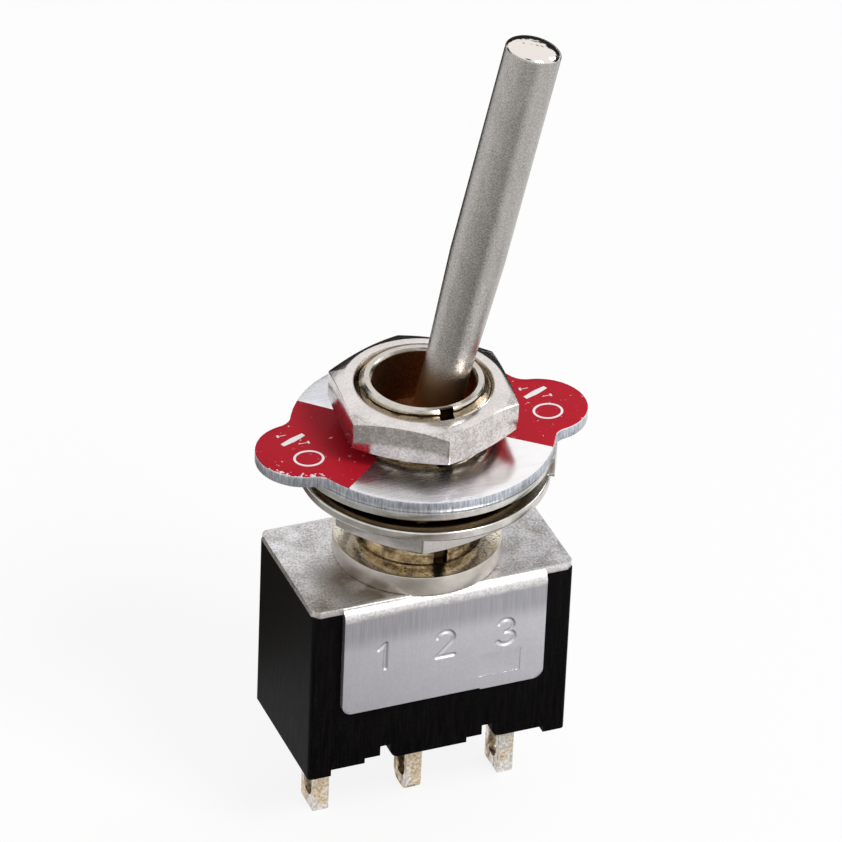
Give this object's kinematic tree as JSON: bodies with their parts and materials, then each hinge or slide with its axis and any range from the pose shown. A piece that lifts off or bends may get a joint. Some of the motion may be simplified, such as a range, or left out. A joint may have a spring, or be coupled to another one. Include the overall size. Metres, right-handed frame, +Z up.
{
  "type": "panel toggle switch",
  "caption": "Miniature panel toggle switch: black case under a bent metal frame, threaded bushing with nuts, washers and a lobed ON plate, round lever and solder lugs.",
  "frame": {"origin": "centre of the frame's top face, on the bushing's axis, where the bushing's collar stands on the frame", "axes": "+Z up the bushing's axis, X the direction in which the lever swings (it leans towards +X as stored), Y the axis the lever turns about"},
  "size_m": [0.0165, 0.0126, 0.0408],
  "materials": {
    "black_moulding": "black thermoset moulding, satin",
    "plated_frame": "nickel-plated steel sheet, satin",
    "plated_brass": "nickel-plated brass, turned and threaded",
    "plated_lever": "nickel plating, tumbled satin with a bright tip",
    "steel_pin": "ground steel",
    "spring_steel": "drawn wire",
    "plunger_moulding": "natural polyamide",
    "contact_brass": "pressed brass strip",
    "contact_silver": "silver rivet",
    "terminal_plating": "tin plating over brass",
    "plated_nut": "bright nickel plating",
    "plated_washer": "nickel-plated spring steel",
    "indicator_sheet": "brushed aluminium with a red printed field on each lobe"
  },
  "bodies": {
    "switch_body": {"case": "black_moulding", "frame": "plated_frame", "bushing": "plated_brass", "fixed_contact_left": "contact_silver", "fixed_contact_right": "contact_silver", "terminal_left": "terminal_plating", "terminal_centre": "terminal_plating", "terminal_right": "terminal_plating", "back_nut": "plated_nut", "flat_washer": "plated_washer", "lock_washer": "plated_washer", "locating_ring": "plated_washer", "indicator_plate": "indicator_sheet", "panel_nut": "plated_nut"},
    "toggle": {"lever": "plated_lever", "lever_pin": "steel_pin", "lever_spring": "spring_steel"},
    "plunger_body": {"plunger": "plunger_moulding"},
    "rocking_contact": {"rocker": "contact_brass", "rocker_contact_left": "contact_silver", "rocker_contact_right": "contact_silver"}
  },
  "joints": [
    {"name": "lever_toggle", "type": "hinge", "parent": "switch_body", "child": "toggle", "pos_m": [0, 0, 0.0046], "axis": [0, 1, 0], "range_deg": [-24.4, 0]},
    {"name": "rocker_tip", "type": "hinge", "parent": "switch_body", "child": "rocking_contact", "pos_m": [0, 0, -0.00562], "axis": [0, 1, 0], "range_deg": [0, 16]},
    {"name": "plunger_slide", "type": "slide", "parent": "toggle", "child": "plunger_body", "axis": [0.2113, 0, 0.9774], "range_m": [0, 0.0004], "stiffness_N_per_m": 400, "springref_m": -0.001, "deforming": ["lever_spring"]}
  ],
  "couplings": [
    {"joint": "rocker_tip", "follows": "lever_toggle", "ratio": -0.65574}
  ]
}
